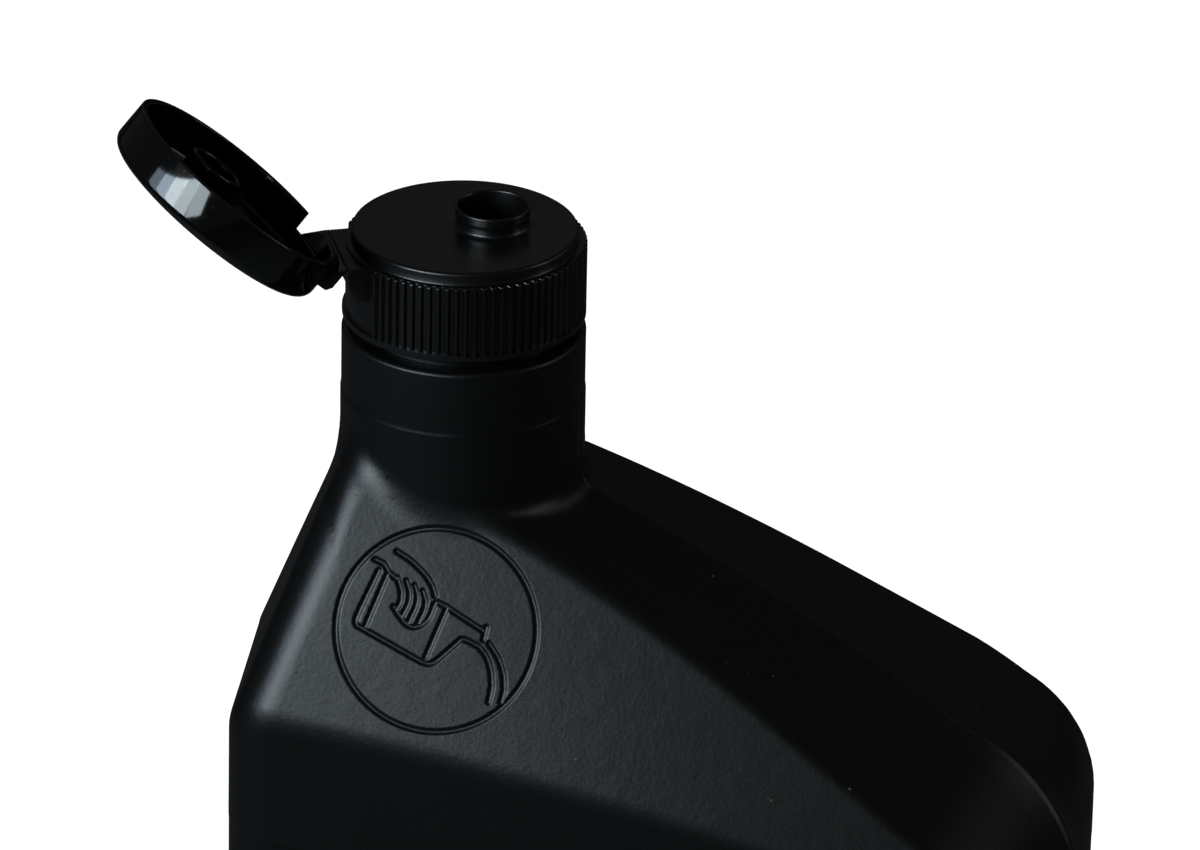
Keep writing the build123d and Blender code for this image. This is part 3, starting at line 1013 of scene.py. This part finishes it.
rings = base_rings()
base_skin = (rings.reshape(-1, 3), skin_faces(len(rings), rings.shape[1], closed=True))
print("base:", len(base_skin[1]), "faces")

# %% [markdown]
# ## Hinge pads
# The film hinge needs a straight line to fold on, but the skirt and the lid are round. So each
# has a flat-faced pad as wide as the film, whose back follows the round wall it stands on.

# %% A pad with its back on the round wall
HINGE_RADIUS, HINGE_DROP, HINGE_HALF_WIDTH = 21.66, 2.28, 8.5
PAD_SLICES, PAD_ROLL, PAD_EDGE = 14, 0.28, math.radians(20.0)
BASE_PAD = [(-HINGE_RADIUS, -2.56), (-HINGE_RADIUS, -5.9), (-20.2, -8.5)]


def pad(front, back_radius, back_end):
    """Slices across the pad; front is its outline seen along the hinge, back_end where it ends."""
    front = np.array(front, float)
    slices = []
    for share in np.linspace(-1.0, 1.0, PAD_SLICES):
        y = share * HINGE_HALF_WIDTH
        back = -math.sqrt(back_radius**2 - y**2)
        x = np.concatenate([front[:, 0], [back, back]])
        z = np.concatenate([front[:, 1], [back_end, front[0, 1]]])
        slices.append(np.stack([x, np.full(x.shape, y), z], axis=1))
    slices = np.stack(slices)
    faces = capped_faces(len(slices), slices.shape[1])
    work = mesh_to_edit(slices.reshape(-1, 3), faces)
    bmesh.ops.recalc_face_normals(work, faces=work.faces)
    edges = [edge for edge in work.edges if edge.calc_face_angle(0.0) > PAD_EDGE]
    bmesh.ops.bevel(
        work, geom=edges, offset=PAD_ROLL, segments=3, profile=0.6, affect="EDGES"
    )
    work.verts.index_update()
    points = np.array([v.co for v in work.verts])
    faces = [[v.index for v in face.verts] for face in work.faces]
    work.free()
    return points, faces


base_skins = [base_skin, pad(BASE_PAD, 19.45, -8.5)]
cap = joined_piece("closure_base", [(on_cap(points), faces) for points, faces in base_skins])
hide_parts("flip_cap")
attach(cap, "cap")
print("closure base:", len(cap.data.polygons), "faces")

# %% [markdown]
# ## The lid
# The lid is drawn shut, where it is simplest, and swung open as the CAD has it. Its wall is cut
# down in a notch that runs up to the hinge on one side, so the rim's height changes round the
# ring. Inside it carries the sealing plug and a thin stiffening rib.

# %% Lid drawn shut
LID_RADIUS, LID_BORE, LID_RIM, LID_TOP, LID_CEILING = 20.9, 19.7, -2.0, 6.0, 4.8
LID_TOP_ROUND, LID_INNER_ROUND, LID_RAYS = 1.8, 0.8, 300
NOTCH_RISE, NOTCH_END, NOTCH_HINGE_END, NOTCH_EDGE = 3.4, 150.0, 178.0, 0.12
PLUG_OFFSET, PLUG_RADIUS, PLUG_POINTS = 5.0, 5.0, 96
RIB_HALF_WIDTH, RIB_TALL, RIB_CHAMFER = 0.4, 0.6, 0.12
LID_OPEN_ANGLE = math.radians(139.9)
LID_EDGE = (
    (19.7, 0.3), (19.74, 0.12), (19.86, 0.02), (20.0, 0.0), (20.6, 0.0), (20.78, 0.03),
    (20.87, 0.13), (20.9, 0.3),
)
PLUG = (
    (5.5, 4.9), (5.3, 4.72), (5.1, 4.55), (5.0, 4.2), (5.0, -1.5), (4.95, -1.75), (4.82, -1.93),
    (4.62, -2.0), (4.42, -1.98), (4.24, -1.88), (4.14, -1.7), (4.1, -1.45), (4.1, 4.9),
)
LID_PAD = [(-20.95, 3.0), (-HINGE_RADIUS, 1.95), (-HINGE_RADIUS, -2.0)]


def lid_angles():
    """Even steps round the lid, with two close together at the notch's upright edge."""
    even = np.degrees(2 * math.pi * np.arange(LID_RAYS) / LID_RAYS)
    even = even[np.abs(even - NOTCH_END) > 0.5]
    pair = [NOTCH_END - NOTCH_EDGE, NOTCH_END + NOTCH_EDGE]
    return np.radians(np.sort(np.concatenate([even, pair])))


def rim_height(angle):
    """Height of the rim, with the notch that ends at the hinge."""
    cut = (np.degrees(angle) > NOTCH_END) & (np.degrees(angle) < NOTCH_HINGE_END)
    return LID_RIM + NOTCH_RISE * cut


def arc_profile(radius, height, roll, count):
    """Quarter circle from upright to level, inside the corner at this radius and height."""
    turn = np.linspace(0.0, math.pi / 2, count)
    radius, height = radius - roll, height - roll
    return [(radius + roll * math.cos(a), height + roll * math.sin(a)) for a in turn]


def lid_rings():
    angle = lid_angles()
    inner = arc_profile(LID_BORE, LID_CEILING, LID_INNER_ROUND, 6)
    rings = rings_along(angle, [(radius, LID_CEILING) for radius in (1.5, 6.0, 11.0, 15.0)])
    rings += rings_along(angle, inner[::-1])
    rings += rings_along(angle, LID_EDGE, rim_height(angle))
    rings += rings_along(angle, arc_profile(LID_RADIUS, LID_TOP, LID_TOP_ROUND, 9))
    rings += rings_along(angle, [(radius, LID_TOP) for radius in (15.0, 9.0, 1.5)])
    return np.stack(rings)


def plug_skin():
    angle = 2 * math.pi * np.arange(PLUG_POINTS) / PLUG_POINTS
    rings = np.stack(rings_along(angle, PLUG, 0.0, PLUG_OFFSET))
    return rings.reshape(-1, 3), skin_faces(len(rings), PLUG_POINTS, closed=True)


def rib_skin():
    """Thin stiffener on the ceiling, from the wall by the hinge to the plug."""
    ends = (-LID_BORE - 0.3, PLUG_OFFSET - PLUG_RADIUS + 0.3)
    low, top = LID_CEILING - RIB_TALL, LID_CEILING + 0.1
    wide = RIB_HALF_WIDTH
    half = [(wide - RIB_CHAMFER, low), (wide, low + 0.15), (wide, top)]
    outline = [(-y, z) for y, z in half[::-1]] + half
    points = np.array([(x, y, z) for x in ends for y, z in outline])
    return points, capped_faces(2, len(outline))


def opened(points):
    """Swings points of the shut lid open about the hinge line."""
    points = np.asarray(points, float)
    x, z = points[..., 0] + HINGE_RADIUS, points[..., 2] + HINGE_DROP
    c, s = math.cos(LID_OPEN_ANGLE), math.sin(LID_OPEN_ANGLE)
    x, z = c * x - s * z - HINGE_RADIUS, s * x + c * z - HINGE_DROP
    return np.stack([x, points[..., 1], z], axis=-1)


rings = lid_rings()
wall = (rings.reshape(-1, 3), capped_faces(len(rings), rings.shape[1]))
lid_skins = [wall, plug_skin(), rib_skin(), pad(LID_PAD, 20.3, 1.2)]
lid = joined_piece("closure_lid", [(on_cap(opened(points)), faces) for points, faces in lid_skins])
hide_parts("flip_lid")
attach(lid, "lid")
print("lid:", len(lid.data.polygons), "faces")

# %% [markdown]
# ## The film hinge
# Between the pads the plastic is only a few tenths of a millimetre thick, and it bends each
# time the lid moves. It is a short strip wrapped round the hinge line, drawn with the lid open
# as the CAD has it, and the points where its edges meet the base and the lid are worked out.

# %% Film between the pads
FILM_RADIUS, FILM_THICKNESS, FILM_INSET = 0.24, 0.22, 0.15
FILM_ARC_STEPS, FILM_WIDTH_STEPS = 12, 17
SHUT_START = math.radians(-90.0)
LID_TURN = math.radians(90.0) + LID_OPEN_ANGLE


def film_arc(reach, turns):
    """Points round the hinge line, as x and z of the closure's frame."""
    return [
        (reach * math.cos(a) - HINGE_RADIUS, reach * math.sin(a) - HINGE_DROP) for a in turns
    ]


def film_rings():
    """Slices across the hinge; each is a thin bent strip, closed round its edge."""
    arc = np.linspace(0.0, 1.0, FILM_ARC_STEPS)
    turn = SHUT_START + (LID_TURN - 2 * math.pi - SHUT_START) * arc
    edge = film_arc(FILM_RADIUS, turn) + film_arc(FILM_RADIUS + FILM_THICKNESS, turn[::-1])
    across_hinge = np.linspace(-1.0, 1.0, FILM_WIDTH_STEPS) * (HINGE_HALF_WIDTH - FILM_INSET)
    return np.array([[(x, y, z) for x, z in edge] for y in across_hinge])


slices = film_rings()
film_faces = capped_faces(len(slices), slices.shape[1])
film = joined_piece("film_hinge", [(on_cap(slices.reshape(-1, 3)), film_faces)], 60.0)
on_base = on_cap([-HINGE_RADIUS, 0.0, -HINGE_DROP - FILM_RADIUS]) * MM
[(lid_x, lid_z)] = film_arc(FILM_RADIUS, [LID_TURN])
on_lid = on_cap([lid_x, 0.0, lid_z]) * MM
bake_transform(film)
print("film:", len(film.data.polygons), "faces")

# %% [markdown]
# ## Two black plastics
# All of the object is black, so only the skin tells one part from another. The blown bottle
# copies the fine spark-eroded grain of its mould and stays satin. The base of the closure has
# a finer, closer satin. The lid's wall was polished in the mould, so it mirrors the window, and
# its flat top was left satin. Heights of the grain are given in millimetres, and the Bump node
# turns them into metres.

# %% Parts that the plastics share
SCUFF_TURN, SCUFF_STRETCH, SCUFF_SOFTNESS = (0.3, 0.2, 0.7), (1.0, 0.03, 1.0), 0.03
DUST_COLOUR = (0.16, 0.11, 0.07, 1.0)


def object_place(finish):
    return finish.add("ShaderNodeTexCoord", {}, {}, "Object")


def noise(finish, place, scale, detail=2.0, roughness=0.5):
    inputs = {"Vector": place, "Scale": scale, "Detail": detail, "Roughness": roughness}
    return finish.add("ShaderNodeTexNoise", {"noise_dimensions": "3D"}, inputs)


def hairlines(finish, place, scale, threshold):
    """Thin straight scuffs: 1 on a line and 0 between, from noise stretched along one axis."""
    mapping = {"Vector": place, "Rotation": SCUFF_TURN, "Scale": SCUFF_STRETCH}
    stretched = finish.add("ShaderNodeMapping", {"vector_type": "POINT"}, mapping)
    return ((noise(finish, stretched, scale, 1.0) - threshold) / SCUFF_SOFTNESS).clamped()


def dust(finish, place, scale, radius, kept):
    """Specks of dust on what faces up: a dot in a few of the cells of a Voronoi texture."""
    cells = {"Vector": place, "Scale": scale}
    reach = finish.add("ShaderNodeTexVoronoi", {"feature": "F1"}, cells, "Distance")
    chance = Socket(finish, reach.output.node.outputs["Color"])
    chance = finish.add("ShaderNodeSeparateColor", {}, {0: chance}, "Red")
    normal = finish.add("ShaderNodeNewGeometry", {}, {}, "Normal")
    up = finish.add("ShaderNodeSeparateXYZ", {}, {0: normal}, "Z")
    dot = ((radius - reach) / (0.4 * radius)).clamped()
    return dot * ((chance - (1.0 - kept)) / 0.01).clamped() * ((up - 0.15) / 0.3).clamped()


def bumped(finish, height_in_mm):
    inputs = {"Strength": 1.0, "Distance": MM, "Height": height_in_mm}
    return finish.add("ShaderNodeBump", {}, inputs)


print("grain, scuffs and dust ready")

# %% Satin polyethylene of the bottle
BLOWN_DARK, BLOWN_LIGHT = (0.0016, 0.0017, 0.0018, 1.0), (0.0034, 0.0034, 0.0036, 1.0)

blown = Finish("blown_polyethylene")
place = object_place(blown)
grain = noise(blown, place, 1300.0, 3.0, 0.6)
peel = noise(blown, place, 260.0)
patches = noise(blown, place, 24.0, 4.0)
scuffs = hairlines(blown, place, 1100.0, 0.70)
specks = dust(blown, place, 300.0, 0.07, 0.25)
skin_colour = blown.mix_colour(patches, BLOWN_DARK, BLOWN_LIGHT)
blown.set(
    Base_Color=blown.mix_colour(specks, skin_colour, DUST_COLOUR),
    Roughness=(0.29 + 0.08 * patches + 0.05 * grain - 0.03 * scuffs + 0.06 * specks).clamped(),
    Specular_IOR_Level=0.34,
    IOR=1.51,
    Normal=bumped(blown, 0.030 * grain + 0.05 * peel - 0.001 * scuffs),
)
bottle.data.materials.append(blown.material)
print("bottle's finish:", len(blown.tree.nodes), "nodes")

# %% Satin and polished polypropylene of the closure
MOULDED_DARK, MOULDED_LIGHT = (0.0014, 0.0014, 0.0015, 1.0), (0.0028, 0.0028, 0.0030, 1.0)
SATIN_MARGIN, SATIN_RUN = 0.8, 0.5


def flat_top(finish, place):
    """1 on the lid's flat top, which its mould leaves satin, and 0 on the polished wall."""
    axis = on_cap(opened([0.0, 0.0, 1.0])) - on_cap(opened([0.0, 0.0, 0.0]))
    edge = float(on_cap(opened([0.0, 0.0, LID_TOP - SATIN_MARGIN])) @ axis) * MM
    inputs = {0: place, 1: tuple(axis)}
    height = finish.add("ShaderNodeVectorMath", {"operation": "DOT_PRODUCT"}, inputs, "Value")
    return ((height - edge) / (SATIN_RUN * MM)).clamped()


def closure_finish(name, roughness, grain_height, peel_height, scuff_roughness, satin_top=0.0):
    """Black polypropylene with its own roughness and heights of grain and peel."""
    finish = Finish(name)
    place = object_place(finish)
    grain = noise(finish, place, 2600.0, 2.0)
    peel = noise(finish, place, 140.0)
    patches = noise(finish, place, 45.0, 3.0)
    scuffs = hairlines(finish, place, 1700.0, 0.68)
    specks = dust(finish, place, 330.0, 0.05, 0.12)
    colour = finish.mix_colour(patches, MOULDED_DARK, MOULDED_LIGHT)
    dull = roughness * (0.85 + 0.3 * patches) + scuff_roughness * scuffs + 0.2 * specks
    if satin_top:
        dull = dull + satin_top * flat_top(finish, place)
    finish.set(
        Base_Color=finish.mix_colour(specks, colour, DUST_COLOUR),
        Roughness=dull.clamped(),
        Specular_IOR_Level=0.58,
        IOR=1.5,
        Normal=bumped(finish, grain_height * grain + peel_height * peel),
    )
    print(name, len(finish.tree.nodes), "nodes")
    return finish.material


base_finish = closure_finish("satin_polypropylene", 0.30, 0.006, 0.03, 0.05)
lid_finish = closure_finish("polished_polypropylene", 0.07, 0.0003, 0.014, 0.10, 0.40)
film_finish = closure_finish("flexed_polypropylene", 0.36, 0.010, 0.05, 0.12)
for piece, finish in ((cap, base_finish), (lid, lid_finish), (film, film_finish)):
    piece.data.materials.append(finish)

# %% [markdown]
# ## The gasket
# The sealing ring under the base is a CAD piece that stays as it is. It is punched from white
# polyethylene foam, whose closed cells show as fine dimples, with painted shade darkening their
# middles.

# %% Foam
# The darker of the two foam colours is painted shade for the dimples' middles, mixed with random
# tone.
FOAM_SHADE_AND_TONE, FOAM_LIGHT = (0.62, 0.61, 0.57, 1.0), (0.84, 0.83, 0.80, 1.0)

foam = Finish("gasket_foam")
place = object_place(foam)
pores = {"Vector": place, "Scale": 2400.0}
cells = foam.add("ShaderNodeTexVoronoi", {"feature": "SMOOTH_F1"}, pores)
tone = noise(foam, place, 300.0)
# Painted shade: the colour darkens towards each dimple's middle, where the bump is lowest; a fifth
# of the mix is random tone.
foam.set(
    Base_Color=foam.mix_colour((cells * 0.8 + 0.2 * tone).clamped(), FOAM_SHADE_AND_TONE, FOAM_LIGHT),
    Roughness=0.72 + 0.15 * tone,
    Normal=bumped(foam, 0.05 * cells),
)
for slot in bpy.data.objects["cap_gasket"].material_slots:
    slot.material = foam.material
